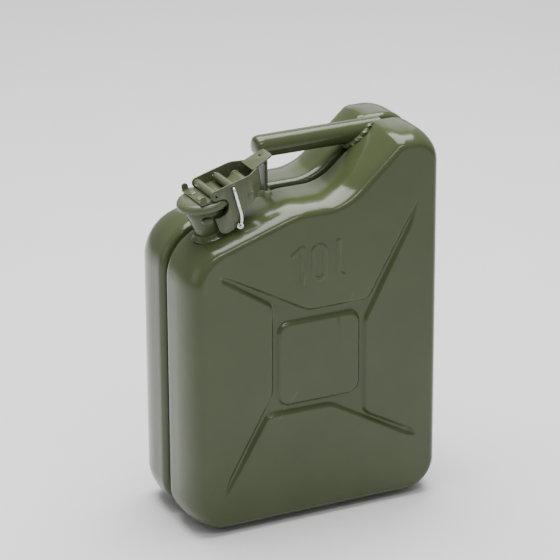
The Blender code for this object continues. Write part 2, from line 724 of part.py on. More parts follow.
# ---------------------------------------------------------------- assembly
def axis_empty(name, place):
    empty = bpy.data.objects.new(name, None)
    bpy.context.scene.collection.objects.link(empty)
    empty.location = neck_point(place[0], 0.0, place[1])
    empty.empty_display_size = 0.01
    return empty


def hang_on(empty, pieces, parent_matrix):
    for piece in pieces:
        piece.parent = empty
        piece.matrix_parent_inverse = parent_matrix.inverted()


def build():
    clear_scene()
    front = half_shell("front_shell", -1, olive_paint("front_shell_paint"))
    hole = in_neck_frame(rod("neck_hole_guide", (0, 0, -0.012), (0, 0, 0.020), NECK_RADIUS + 0.0012, None, TURN_STEPS))
    boolean(front, hole, "DIFFERENCE")
    half_shell("back_shell", 1, olive_paint("back_shell_paint"))
    seam_weld(olive_paint("seam_paint"))
    filler_neck(olive_paint("neck_paint"))
    neck_weld(olive_paint("neck_weld_paint"))
    neck_lugs(olive_paint("lug_paint"))
    vent_tube(zinc_plate("vent_zinc"))
    hinge_bracket(olive_paint("hinge_paint"))
    headed_pin("cap_hinge_pin", HINGE, 0.0126, 0.0031, 0.0010, olive_paint("hinge_pin_paint"))
    carry_handle(olive_paint("handle_paint"))
    hump_weld(olive_paint("hump_weld_paint"))
    foot_weld(olive_paint("foot_weld_paint"))

    hinge_axis = axis_empty("cap_hinge_axis", HINGE)
    cap_pieces = [
        filler_cap(olive_paint("cap_paint")),
        cap_gasket(black_rubber("gasket_rubber")),
        cap_inner_plate(zinc_plate("inner_plate_zinc")),
        cap_rivet("cap_rivet_front", -0.008, olive_paint("rivet_paint_front")),
        cap_rivet("cap_rivet_rear", 0.008, olive_paint("rivet_paint_rear")),
        cap_bracket(olive_paint("bracket_paint")),
    ]
    hinge_matrix = Matrix.Translation(neck_point(HINGE[0], 0.0, HINGE[1]))
    hang_on(hinge_axis, cap_pieces, hinge_matrix)

    pivot_axis = axis_empty("lever_pivot_axis", PIVOT)
    lever_pieces = [
        locking_lever(olive_paint("lever_paint")),
        headed_pin("lever_pivot_pin", PIVOT, CHEEK_OUTER + GAP, 0.0040, 0.0009, olive_paint("pivot_paint"), 0.0011),
        pin_sleeve(olive_paint("sleeve_paint")),
    ]
    pivot_matrix = Matrix.Translation(neck_point(PIVOT[0], 0.0, PIVOT[1]))
    hang_on(pivot_axis, lever_pieces, pivot_matrix)

    slide_axis = axis_empty("safety_pin_axis", SAFETY_PIN)
    slide_matrix = Matrix.Translation(neck_point(SAFETY_PIN[0], 0.0, SAFETY_PIN[1]))
    hang_on(slide_axis, [safety_pin(zinc_plate("pin_zinc"))], slide_matrix)


build()
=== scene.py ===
import math

import bmesh
import bpy
import numpy as np
from mathutils import Matrix, Vector


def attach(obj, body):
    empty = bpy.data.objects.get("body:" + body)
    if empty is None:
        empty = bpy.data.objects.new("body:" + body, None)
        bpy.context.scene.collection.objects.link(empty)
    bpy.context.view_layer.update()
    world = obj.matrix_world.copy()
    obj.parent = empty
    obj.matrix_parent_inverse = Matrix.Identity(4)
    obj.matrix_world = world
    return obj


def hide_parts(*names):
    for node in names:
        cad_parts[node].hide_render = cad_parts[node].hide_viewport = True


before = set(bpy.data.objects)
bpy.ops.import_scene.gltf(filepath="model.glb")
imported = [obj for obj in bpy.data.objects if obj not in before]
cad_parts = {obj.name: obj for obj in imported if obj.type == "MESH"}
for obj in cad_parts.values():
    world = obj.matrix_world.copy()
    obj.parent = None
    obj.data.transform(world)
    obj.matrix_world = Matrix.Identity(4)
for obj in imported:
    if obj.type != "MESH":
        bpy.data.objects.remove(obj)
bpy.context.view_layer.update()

# ---------------------------------------------------------------- can dimensions, metres
LENGTH = 0.270
DEPTH = 0.128
HEIGHT = 0.381
FLAT_END = 0.0266
FACE_INSET = 0.0134
CHANNEL_HALF = 0.0095
CHANNEL_DEPTH = 0.0060
GROOVE_DEPTH = 0.0092
FACE_CENTRE = Vector((0.0, 0.168))
CORNERS = (
    (-LENGTH / 2, 0.0, 0.037),
    (LENGTH / 2, 0.0, 0.037),
    (LENGTH / 2, HEIGHT, 0.032),
    (0.086, HEIGHT, 0.017),
    (0.027, 0.3282, 0.048),
    (-0.022, 0.3282, 0.060),
    (-LENGTH / 2, 0.2915, 0.0495),
)

# Pressed cross: everything inside this outline is sunk, except the raised pad in its middle.
CROSS = (
    (-0.011, 0.222), (-0.094, 0.2685), (-0.104, 0.2715), (-0.1035, 0.2655), (-0.0505, 0.2305),
    (-0.0510, 0.139), (-0.0985, 0.0575), (-0.1020, 0.038), (-0.0880, 0.0590), (-0.0535, 0.117),
    (0.0130, 0.116), (0.0970, 0.0675), (0.1075, 0.0655), (0.1020, 0.0745), (0.0505, 0.103),
    (0.0510, 0.199), (0.1010, 0.2925), (0.1062, 0.316), (0.0910, 0.2905), (0.0520, 0.222),
)
CROSS_DEPTH = 0.0034
CROSS_EDGE = 0.0042
PAD = (-0.0412, 0.0412, 0.1275, 0.2085, 0.0095)
MARK_HEIGHT = 0.0009
MARK_STROKE = 0.0046

# Closure frame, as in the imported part.
NECK_BASE = Vector((-0.0983, -0.0275, 0.3038))
NECK_LEAN = math.radians(10.0)
NECK_FRAME = Matrix.Translation(NECK_BASE) @ Matrix.Rotation(-NECK_LEAN, 4, "Y")
PIVOT = (0.0050, 0.0424)
HINGE = (0.0405, 0.0405)
SAFETY_PIN = (0.0236, 0.0446)
CAP_RADIUS = 0.0259
CAP_BOTTOM = 0.0286
CAP_TOP = 0.0376
MOUTH_TOP = 0.0315
NECK_RADIUS = 0.0132
NECK_FLARE = 0.228
LIP_RADIUS = 0.0193
CHEEK_INNER = 0.0208
CHEEK_OUTER = 0.0222
SHEET = 0.0014
LOBE_RADIUS = 0.0050
LEVER_END = 0.0575
TAB_START = (0.0537, 0.0520)
TAB_RISE = math.radians(17.0)
BRACKET_LOW = CAP_TOP + 0.0003
BRACKET_SHEET = 0.0016
BRACKET_FRONT = -0.0110
BRACKET_HALF = 0.0204
BRACKET_FRONT_HALF = 0.0222

TUBE_RADIUS = 0.0111
TUBE_Z = HEIGHT - TUBE_RADIUS
LEG_X = -0.0312
LEG_HALF = 0.0023


# ---------------------------------------------------------------- mesh helpers
def make_object(name, vertices, faces, material, sharp=math.radians(40)):
    mesh = bpy.data.meshes.new(name)
    mesh.from_pydata([tuple(v) for v in vertices], [], faces)
    build = bmesh.new()
    build.from_mesh(mesh)
    bmesh.ops.remove_doubles(build, verts=build.verts, dist=1e-6)
    bmesh.ops.recalc_face_normals(build, faces=build.faces)
    build.to_mesh(mesh)
    build.free()
    mesh.shade_smooth()
    if sharp:
        mesh.set_sharp_from_angle(angle=sharp)
    obj = bpy.data.objects.new(name, mesh)
    bpy.context.scene.collection.objects.link(obj)
    if material:
        mesh.materials.append(material)
    return obj


def skin(rings, first_cap=True, last_cap=True, looped=False):
    count = len(rings[0])
    vertices = [point for ring in rings for point in ring]
    faces = []
    levels = len(rings) if looped else len(rings) - 1
    for level in range(levels):
        low = level * count
        high = (level + 1) % len(rings) * count
        for index in range(count):
            after = (index + 1) % count
            faces.append((low + index, low + after, high + after, high + index))
    if first_cap and not looped:
        faces.append(tuple(reversed(range(count))))
    if last_cap and not looped:
        top = (len(rings) - 1) * count
        faces.append(tuple(range(top, top + count)))
    return vertices, faces


def lofted(name, rings, material, sharp=math.radians(40), looped=False):
    vertices, faces = skin(rings, looped=looped)
    return make_object(name, vertices, faces, material, sharp)


def turned(name, profile, material, steps=96, place=None, sharp=math.radians(40)):
    """A solid turned about local Z from a closed loop of (radius, height) points."""
    rings = []
    for step in range(steps):
        turn = 2 * math.pi * step / steps
        rings.append([(r * math.cos(turn), r * math.sin(turn), z) for r, z in profile])
    obj = lofted(name, rings, material, sharp, looped=True)
    if place is not None:
        obj.data.transform(place)
    return obj


def prism(name, outline, low, high, plane, material=None, place=None):
    """An outline extruded along Z for plane 'uv', or along Y for plane 'us'."""
    if plane == "uv":
        rings = [[(a, b, level) for a, b in outline] for level in (low, high)]
    else:
        rings = [[(a, level, b) for a, b in outline] for level in (low, high)]
    obj = lofted(name, rings, material)
    if place is not None:
        obj.data.transform(place)
    return obj


def arc(centre, radius, start, end, steps):
    points = []
    for step in range(steps + 1):
        angle = math.radians(start + (end - start) * step / steps)
        points.append((centre[0] + radius * math.cos(angle), centre[1] + radius * math.sin(angle)))
    return points


def smooth_line(points, per_span=6):
    """A Catmull-Rom line through the points, ends included."""
    points = [Vector(p) for p in points]
    line = []
    for index in range(len(points) - 1):
        p0 = points[max(index - 1, 0)]
        p1 = points[index]
        p2 = points[index + 1]
        p3 = points[min(index + 2, len(points) - 1)]
        for step in range(per_span):
            t = step / per_span
            line.append(
                0.5 * (2 * p1 + (p2 - p0) * t + (2 * p0 - 5 * p1 + 4 * p2 - p3) * t * t
                       + (3 * p1 - p0 - 3 * p2 + p3) * t ** 3)
            )
    line.append(points[-1])
    return line


def rounded(points, radius, steps=5):
    """A closed outline with each corner rounded by about this radius."""
    result = []
    count = len(points)
    for index in range(count):
        before = Vector(points[index - 1])
        corner = Vector(points[index])
        after = Vector(points[(index + 1) % count])
        reach = min(radius, (corner - before).length * 0.45, (after - corner).length * 0.45)
        start = corner + (before - corner).normalized() * reach
        end = corner + (after - corner).normalized() * reach
        for step in range(steps + 1):
            t = step / steps
            point = start * (1 - t) ** 2 + corner * 2 * t * (1 - t) + end * t * t
            result.append((point.x, point.y))
    return result


def swept(name, path, radius, material, steps=20):
    path = [Vector(point) for point in path]
    rings = []
    side = None
    for index, centre in enumerate(path):
        tangent = (path[min(index + 1, len(path) - 1)] - path[max(index - 1, 0)]).normalized()
        side = tangent.orthogonal() if side is None else side - tangent * side.dot(tangent)
        side.normalize()
        up = tangent.cross(side)
        size = radius(index / (len(path) - 1)) if callable(radius) else radius
        ring = []
        for step in range(steps):
            turn = 2 * math.pi * step / steps
            ring.append(centre + (side * math.cos(turn) + up * math.sin(turn)) * size)
        rings.append(ring)
    return lofted(name, rings, material, math.radians(60))


def cut(obj, tool, operation="DIFFERENCE"):
    """Applies an exact boolean at once and removes the tool."""
    modifier = obj.modifiers.new("cut", "BOOLEAN")
    modifier.operation = operation
    modifier.solver = "EXACT"
    modifier.object = tool
    apply_modifiers(obj)
    bpy.data.objects.remove(tool)
    return obj


def apply_modifiers(obj):
    graph = bpy.context.evaluated_depsgraph_get()
    mesh = bpy.data.meshes.new_from_object(obj.evaluated_get(graph))
    obj.modifiers.clear()
    old = obj.data
    obj.data = mesh
    bpy.data.meshes.remove(old)
    return obj


def soften(obj, width, segments=2, angle=30):
    """Rounds every edge sharper than the angle, then shades the piece smooth."""
    modifier = obj.modifiers.new("bevel", "BEVEL")
    modifier.width = width
    modifier.segments = segments
    modifier.limit_method = "ANGLE"
    modifier.angle_limit = math.radians(angle)
    modifier.use_clamp_overlap = True
    modifier.harden_normals = False
    apply_modifiers(obj)
    obj.data.shade_smooth()
    obj.data.set_sharp_from_angle(angle=math.radians(50))
    return obj


# ---------------------------------------------------------------- materials
def nodes_of(material):
    material.use_nodes = True
    tree = material.node_tree
    return tree, tree.nodes["Principled BSDF"]


def add_noise(tree, coordinates, scale, detail, roughness=0.5):
    node = tree.nodes.new("ShaderNodeTexNoise")
    node.inputs["Scale"].default_value = scale
    node.inputs["Detail"].default_value = detail
    node.inputs["Roughness"].default_value = roughness
    tree.links.new(coordinates, node.inputs["Vector"])
    return node.outputs["Fac"]


def add_ramp(tree, value, stops):
    ramp = tree.nodes.new("ShaderNodeValToRGB")
    elements = ramp.color_ramp.elements
    while len(elements) < len(stops):
        elements.new(0.5)
    for element, (position, colour) in zip(elements, stops):
        element.position = position
        element.color = (*colour, 1.0)
    tree.links.new(value, ramp.inputs["Fac"])
    return ramp.outputs["Color"]


def add_range(tree, value, low, high):
    node = tree.nodes.new("ShaderNodeMapRange")
    node.inputs["To Min"].default_value = low
    node.inputs["To Max"].default_value = high
    tree.links.new(value, node.inputs["Value"])
    return node.outputs["Result"]


def add_bump(tree, height, strength, distance, normal=None):
    node = tree.nodes.new("ShaderNodeBump")
    node.inputs["Strength"].default_value = strength
    node.inputs["Distance"].default_value = distance
    tree.links.new(height, node.inputs["Height"])
    if normal is not None:
        tree.links.new(normal, node.inputs["Normal"])
    return node.outputs["Normal"]


def mix_colour(tree, factor, first, second):
    node = tree.nodes.new("ShaderNodeMix")
    node.data_type = "RGBA"
    tree.links.new(factor, node.inputs[0])
    for socket, value in ((node.inputs[6], first), (node.inputs[7], second)):
        if isinstance(value, tuple):
            socket.default_value = (*value, 1.0)
        else:
            tree.links.new(value, socket)
    return node.outputs[2]


def olive_paint(name, dark, light, rough, dimple):
    """Stoved gloss enamel: slight colour drift, orange peel, a sheet's slow waviness, rubbed edges."""
    material = bpy.data.materials.new(name)
    tree, shader = nodes_of(material)
    place = tree.nodes.new("ShaderNodeTexCoord").outputs["Object"]
    drift = add_noise(tree, place, 14.0, 4.0, 0.6)
    colour = add_ramp(tree, drift, ((0.30, dark), (0.72, light)))
    specks = add_noise(tree, place, 2600.0, 2.0, 0.6)
    grain = add_ramp(tree, specks, ((0.66, (0.0, 0.0, 0.0)), (0.78, (1.0, 1.0, 1.0))))
    colour = mix_colour(tree, grain, colour, tuple(c * 1.35 for c in light))
    edges = tree.nodes.new("ShaderNodeNewGeometry").outputs["Pointiness"]
    worn = add_ramp(tree, edges, ((0.53, (0.0, 0.0, 0.0)), (0.60, (0.35, 0.35, 0.35))))
    colour = mix_colour(tree, worn, colour, tuple(c * 1.7 + 0.01 for c in light))
    tree.links.new(colour, shader.inputs["Base Color"])
    smudge = add_noise(tree, place, 38.0, 5.0, 0.62)
    tree.links.new(add_range(tree, smudge, rough * 0.75, rough * 1.35), shader.inputs["Roughness"])
    shader.inputs["Metallic"].default_value = 0.0
    shader.inputs["IOR"].default_value = 1.5
    shader.inputs["Coat Weight"].default_value = 0.10
    shader.inputs["Specular IOR Level"].default_value = 0.34
    shader.inputs["Coat Roughness"].default_value = 0.08
    peel = add_noise(tree, place, 620.0, 2.0)
    wave = add_noise(tree, place, 30.0, 1.0)
    normal = add_bump(tree, peel, 0.10, dimple)
    normal = add_bump(tree, wave, 0.07, 0.0025, normal)
    tree.links.new(normal, shader.inputs["Normal"])
    return material


def weld_paint(name, dark, light):
    """The same enamel over a rippled weld bead."""
    material = olive_paint(name, dark, light, 0.30, 0.0006)
    tree, shader = nodes_of(material)
    place = tree.nodes.new("ShaderNodeTexCoord").outputs["Object"]
    lumps = add_noise(tree, place, 330.0, 4.0, 0.6)
    shader_normal = shader.inputs["Normal"].links[0].from_socket
    tree.links.new(add_bump(tree, lumps, 0.55, 0.0012, shader_normal), shader.inputs["Normal"])
    return material


def zinc(name, tint, rough):
    """Bright zinc plate: faint spangle, a fine grain and dulled patches."""
    material = bpy.data.materials.new(name)
    tree, shader = nodes_of(material)
    place = tree.nodes.new("ShaderNodeTexCoord").outputs["Object"]
    spangle = add_noise(tree, place, 420.0, 3.0, 0.7)
    dull = tuple(c * 0.72 for c in tint)
    tree.links.new(add_ramp(tree, spangle, ((0.32, dull), (0.62, tint))), shader.inputs["Base Color"])
    patches = add_noise(tree, place, 160.0, 4.0, 0.6)
    tree.links.new(add_range(tree, patches, rough * 0.7, rough * 1.5), shader.inputs["Roughness"])
    shader.inputs["Metallic"].default_value = 1.0
    fine = add_noise(tree, place, 1900.0, 2.0)
    tree.links.new(add_bump(tree, fine, 0.12, 0.0002), shader.inputs["Normal"])
    return material


def rubber(name):
    material = bpy.data.materials.new(name)
    tree, shader = nodes_of(material)
    place = tree.nodes.new("ShaderNodeTexCoord").outputs["Object"]
    bloom = add_noise(tree, place, 90.0, 5.0, 0.65)
    colour = add_ramp(tree, bloom, ((0.35, (0.012, 0.012, 0.012)), (0.75, (0.035, 0.034, 0.031))))
    tree.links.new(colour, shader.inputs["Base Color"])
    tree.links.new(add_range(tree, bloom, 0.55, 0.85), shader.inputs["Roughness"])
    fine = add_noise(tree, place, 1400.0, 3.0)
    tree.links.new(add_bump(tree, fine, 0.25, 0.0003), shader.inputs["Normal"])
    return material


def floor_paper(name):
    material = bpy.data.materials.new(name)
    tree, shader = nodes_of(material)
    place = tree.nodes.new("ShaderNodeTexCoord").outputs["Object"]
    fibre = add_noise(tree, place, 7.0, 3.0)
    colour = add_ramp(tree, fibre, ((0.3, (0.77, 0.77, 0.77)), (0.7, (0.79, 0.79, 0.79))))
    tree.links.new(colour, shader.inputs["Base Color"])
    shader.inputs["Roughness"].default_value = 0.9
    shader.inputs["Specular IOR Level"].default_value = 0.1
    return material


CAN_PAINT = olive_paint("olive_can_paint", (0.046, 0.059, 0.022), (0.055, 0.070, 0.028), 0.17, 0.0004)
FITTING_PAINT = olive_paint("olive_fitting_paint", (0.066, 0.078, 0.040), (0.080, 0.093, 0.049), 0.27, 0.0004)
BEAD_PAINT = weld_paint("olive_bead_paint", (0.060, 0.074, 0.032), (0.076, 0.092, 0.042))
# The seam weld's paint is near black: painted shade for the deep groove round the seam, much darker than the
# can's own enamel.
SEAM_SHADE_PAINT = weld_paint("olive_seam_painted_shade", (0.010, 0.013, 0.006), (0.018, 0.022, 0.010))
PIN_ZINC = zinc("bright_pin_zinc", (0.86, 0.87, 0.88), 0.22)
TUBE_ZINC = zinc("dull_tube_zinc", (0.62, 0.63, 0.64), 0.40)
GASKET_RUBBER = rubber("black_gasket_rubber")


# ---------------------------------------------------------------- shells
def outline_points(spacing):
    """Points and outward normals along the can's outline, corners as arcs."""
    starts = []
    for index, (x, z, radius) in enumerate(CORNERS):
        corner = Vector((x, z))
        before = Vector(CORNERS[index - 1][:2])
        after = Vector(CORNERS[(index + 1) % len(CORNERS)][:2])
        arriving = (corner - before).normalized()
        leaving = (after - corner).normalized()
        turn = math.atan2(arriving.x * leaving.y - arriving.y * leaving.x, arriving.dot(leaving))
        side = 1 if turn > 0 else -1
        normal = Vector((arriving.y, -arriving.x))
        start = corner - arriving * radius * math.tan(abs(turn) / 2)
        centre = start - normal * radius * side
        base_angle = math.atan2(normal.y, normal.x)
        steps = max(6, math.ceil(radius * abs(turn) / spacing))
        points = []
        for step in range(steps + 1):
            angle = base_angle + turn * step / steps
            outward = Vector((math.cos(angle), math.sin(angle)))
            points.append((centre + outward * radius * side, outward))
        starts.append(points)
    result = []
    for index, points in enumerate(starts):
        result += points
        end, normal = points[-1]
        start = starts[(index + 1) % len(starts)][0][0]
        count = math.ceil((start - end).length / spacing)
        result += [(end.lerp(start, step / count), normal) for step in range(1, count)]
    return result


def wall_profile():
    """(distance from the seam plane, inset) from the seam out to the edge of the flat face."""
    points = [(0.0022, GROOVE_DEPTH), (0.0028, 0.0078), (0.0034, 0.0054), (0.0039, 0.0037), (0.0046, 0.0025)]
    points += [(0.0056, 0.0018), (0.0072, 0.0010), (0.0085, 0.00045), (0.0095, 0.00015), (0.0106, 0.0)]
    points += [(0.0150, 0.0), (0.0205, 0.0), (FLAT_END, 0.0)]
    steps = 16
    for step in range(1, steps + 1):
        angle = math.pi / 2 * step / steps
        distance = FLAT_END + (DEPTH / 2 - FLAT_END) * math.sin(angle)
        points.append((distance, FACE_INSET * (1 - math.cos(angle))))
    return points


def smoothstep(value):
    value = np.clip(value, 0.0, 1.0)
    return value * value * (3 - 2 * value)


def distance_to_lines(x, z, points, closed):
    best = np.full(x.shape, 1e9)
    count = len(points) if closed else len(points) - 1
    for index in range(count):
        ax, az = points[index]
        bx, bz = points[(index + 1) % len(points)]
        dx = bx - ax
        dz = bz - az
        share = np.clip(((x - ax) * dx + (z - az) * dz) / max(dx * dx + dz * dz, 1e-12), 0.0, 1.0)
        best = np.minimum(best, np.hypot(x - ax - share * dx, z - az - share * dz))
    return best


def inside_outline(x, z, points):
    inside = np.zeros(x.shape, bool)
    for index in range(len(points)):
        ax, az = points[index]
        bx, bz = points[(index + 1) % len(points)]
        crosses = (az > z) != (bz > z)
        at = ax + (z - az) * (bx - ax) / (bz - az if bz != az else 1e-12)
        inside ^= crosses & (x < at)
    return inside


CROSS_LINE = rounded(CROSS, 0.006, 4)


def pad_distance(x, z):
    """How far outside the raised pad's edge a point lies."""
    left, right, low, high, radius = PAD
    over_x = np.maximum(np.abs(x - (left + right) / 2) - (right - left) / 2 + radius, 0)
    over_z = np.maximum(np.abs(z - (low + high) / 2) - (high - low) / 2 + radius, 0)
    return np.hypot(over_x, over_z) - radius


def cross_sink(x, z):
    """How far the pressed cross sinks the face at each point."""
    edge = distance_to_lines(x, z, CROSS_LINE, True)
    edge = np.where(inside_outline(x, z, CROSS_LINE), edge, -edge)
    sink = smoothstep((edge + 0.0008) / CROSS_EDGE)
    reach = np.hypot(x - 0.0, (z - 0.168) * 0.85)
    fade = 1 - 0.45 * smoothstep((reach - 0.085) / 0.06)
    return CROSS_DEPTH * sink * fade * smoothstep((pad_distance(x, z) + 0.0002) / 0.0040)


def mark_lines():
    """Plain strokes for the capacity mark: a one, a nought and a small l."""
    one = [(-0.0276, 0.2790), (-0.0180, 0.2852), (-0.0180, 0.2500)]
    nought = arc((-0.0004, 0.2786), 0.0062, 0, 180, 8) + arc((-0.0004, 0.2568), 0.0062, 180, 360, 8)
    nought.append(nought[0])
    ell = [(0.0205, 0.2860), (0.0205, 0.2560)] + arc((0.0262, 0.2560), 0.0057, 180, 265, 5)
    return one, nought, ell


MARK = mark_lines()


def mark_raise(x, z):
    best = np.full(x.shape, 1e9)
    for line in MARK:
        best = np.minimum(best, distance_to_lines(x, z, line, False))
    return MARK_HEIGHT * smoothstep((MARK_STROKE / 2 - best) / 0.0013 + 0.5)


def refine(build, wanted):
    """Cuts every edge whose middle the test picks into two, leaving quads where it can."""
    middles = np.array([[*((edge.verts[0].co + edge.verts[1].co) / 2)] for edge in build.edges])
    picked = wanted(middles[:, 0], middles[:, 2], middles[:, 1])
    edges = [edge for edge, take in zip(build.edges, picked) if take]
    bmesh.ops.subdivide_edges(build, edges=edges, cuts=1, use_grid_fill=True)


def shell(name, side, with_mark, neck_hole):
    outline = outline_points(0.0022)
    rings = []
    for distance, inset in wall_profile():
        rings.append([(p.x - n.x * inset, side * distance, p.y - n.y * inset) for p, n in outline])
    edge = rings[-1]
    shares = [step / 62 * 0.80 for step in range(1, 63)]
    face_y = side * DEPTH / 2
    for share in shares:
        ring = []
        for x, y, z in edge:
            ring.append((x * (1 - share), face_y, FACE_CENTRE.y + (z - FACE_CENTRE.y) * (1 - share)))
        rings.append(ring)
    vertices, faces = skin(rings, first_cap=False)
    mesh = bpy.data.meshes.new(name)
    mesh.from_pydata(vertices, [], faces)
    build = bmesh.new()
    build.from_mesh(mesh)

    def near_edges(x, z, y):
        on_face = np.abs(y) > DEPTH / 2 - 1e-4
        border = distance_to_lines(x, z, CROSS_LINE, True) < 0.0058
        pad = np.abs(pad_distance(x, z) - 0.002) < 0.0040
        return on_face & (border | pad)

    def near_mark(x, z, y):
        on_face = np.abs(y) > DEPTH / 2 - 1e-4
        return on_face & (x > -0.033) & (x < 0.034) & (z > 0.245) & (z < 0.292)

    refine(build, near_edges)
    if with_mark:
        refine(build, near_mark)
        refine(build, near_mark)
    if neck_hole:
        axis = (NECK_FRAME.to_3x3() @ Vector((0, 0, 1))).normalized()
        doomed = []
        for face in build.faces:
            offset = face.calc_center_median() - NECK_BASE
            along = offset.dot(axis)
            if abs(along) < 0.02 and (offset - axis * along).length < 0.0129:
                doomed.append(face)
        bmesh.ops.delete(build, geom=doomed, context="FACES")
    build.verts.ensure_lookup_table()
    points = np.array([[*vert.co] for vert in build.verts])
    on_face = np.abs(points[:, 1]) > DEPTH / 2 - 1e-4
    x = points[:, 0]
    z = points[:, 2]
    sink = np.where(on_face, cross_sink(x, z), 0.0)
    if with_mark:
        sink -= np.where(on_face, mark_raise(x, z), 0.0)
    inward = -side * sink
    for vert, move in zip(build.verts, inward):
        vert.co.y += move
    bmesh.ops.recalc_face_normals(build, faces=build.faces)
    outer = max(build.faces, key=lambda face: side * face.calc_center_median().y)
    if outer.normal.y * side < 0:
        bmesh.ops.reverse_faces(build, faces=build.faces)
    build.to_mesh(mesh)
    build.free()
    mesh.shade_smooth()
    mesh.materials.append(CAN_PAINT)
    obj = bpy.data.objects.new(name, mesh)
    bpy.context.scene.collection.objects.link(obj)
    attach(obj, "can")
    return obj


def seam_bead():
    """The weld that closes the two halves, low in the groove, rippled along its run; its near-black paint is
    painted shade for the deep groove.
    """
    rings = []
    section = (
        (-0.0026, 0.0094), (-0.0020, 0.0084), (-0.0008, 0.0079), (0.0008, 0.0079),
        (0.0020, 0.0084), (0.0026, 0.0094), (0.0016, 0.0100), (-0.0016, 0.0100),
    )
    for index, (point, normal) in enumerate(outline_points(0.0016)):
        lump = 0.00018 * math.sin(index * 1.7) + 0.00012 * math.sin(index * 0.61 + 1.0)
        ring = []
        for distance, inset in section:
            at = point - normal * (inset - lump)
            ring.append((at.x, distance, at.y))
        rings.append(ring)
    bead = lofted("seam_bead", rings, SEAM_SHADE_PAINT, math.radians(60), looped=True)
    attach(bead, "can")
    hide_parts("seam_weld")


# ---------------------------------------------------------------- neck
def neck_pieces():
    low = -0.0030
    top = MOUTH_TOP
    profile = [(NECK_RADIUS, low), (NECK_RADIUS, 0.0)]
    for height in (0.004, 0.008, 0.012, 0.016, 0.020, 0.0235):
        profile.append((NECK_RADIUS + NECK_FLARE * height, height))
    profile += arc((LIP_RADIUS - 0.0022, top - 0.0024), 0.0022, -75, 90, 10)
    profile += arc((0.0176, top - 0.0010), 0.0010, 100, 180, 4)
    profile += [(0.0168, 0.0285), (0.0168, 0.0240), (0.0160, 0.0220)]
    profile += [(0.0120, 0.0035), (0.0118, 0.0020), (0.0118, low)]
    neck = turned("neck_body", profile, CAN_PAINT, 120, NECK_FRAME)
    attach(neck, "can")
    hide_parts("filler_neck")
    for side, label in ((-1, "front"), (1, "rear")):
        outline = arc((-0.0037, 0.0187), 0.0034, -90, 90, 10) + arc((-0.0080, 0.0191), 0.0034, 90, 270, 10)
        edges = sorted((side * 0.0120, side * 0.0201))
        lug = prism("guide_lug_" + label, outline, edges[0], edges[1], "us", CAN_PAINT, NECK_FRAME)
        soften(lug, 0.0013, 4)
        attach(lug, "can")
        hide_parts("neck_lug_" + label)


def surface_drop(y):
    share = min(max(abs(y) - FLAT_END, 0.0) / (DEPTH / 2 - FLAT_END), 1.0)
    return FACE_INSET * (1 - math.sqrt(1 - share * share))


def neck_bead():
    """The fillet weld round the neck's foot, following the rounded shoulder."""
    slope = math.atan2(0.3282 - 0.2915, -0.022 + LENGTH / 2)
    along = Vector((math.cos(slope), 0, math.sin(slope)))
    normal = Vector((-math.sin(slope), 0, math.cos(slope)))
    rings = []
    steps = 120
    for step in range(steps):
        turn = 2 * math.pi * step / steps
        spoke = along * math.cos(turn) + Vector((0, 1, 0)) * math.sin(turn)
        lump = 0.00010 * math.sin(turn * 17) + 0.00008 * math.sin(turn * 29 + 1.0)
        ring = []
        for radius, height in ((0.0130, 0.0040), (0.0142, 0.0042), (0.0150, 0.0036), (0.0155, 0.0026),
                               (0.0161, 0.0015), (0.0170, 0.0006), (0.0180, -0.0001), (0.0184, -0.0008),
                               (0.0150, -0.0014), (0.0130, -0.0010)):
            point = NECK_BASE + spoke * (radius + lump)
            ring.append(point + normal * (height - 0.0003 - surface_drop(point.y)))
        rings.append(ring)
    bead = lofted("neck_foot_bead", rings, CAN_PAINT, math.radians(60), looped=True)
    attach(bead, "can")
    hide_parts("neck_weld")


# ---------------------------------------------------------------- cap
def cap_pieces():
    rim = CAP_RADIUS
    under = CAP_TOP - 0.0015
    outside = [(radius, CAP_TOP) for radius in (0.0, 0.0060, 0.0120, 0.0180)]
    outside += [(0.0205, CAP_TOP - 0.0003)]
    outside += [(0.0230, CAP_TOP - 0.0010), (0.0246, CAP_TOP - 0.0021), (rim - 0.0004, CAP_TOP - 0.0036)]
    outside += [(rim, CAP_TOP - 0.0052)]
    outside += [(rim - 0.0003, CAP_BOTTOM + 0.0018), (rim - 0.0009, CAP_BOTTOM + 0.0006)]
    outside += [(rim - 0.0018, CAP_BOTTOM), (rim - 0.0027, CAP_BOTTOM + 0.0003)]
    inside = [(rim - 0.0016, CAP_BOTTOM + 0.0026), (rim - 0.0016, CAP_TOP - 0.0048), (0.0234, under - 0.0018)]
    inside += [(0.0215, under - 0.0006), (0.0180, under), (0.0, under)]
    lid = turned("lid_dish", outside + inside, FITTING_PAINT, 144, NECK_FRAME, math.radians(55))
    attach(lid, "cap")
    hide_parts("filler_cap")


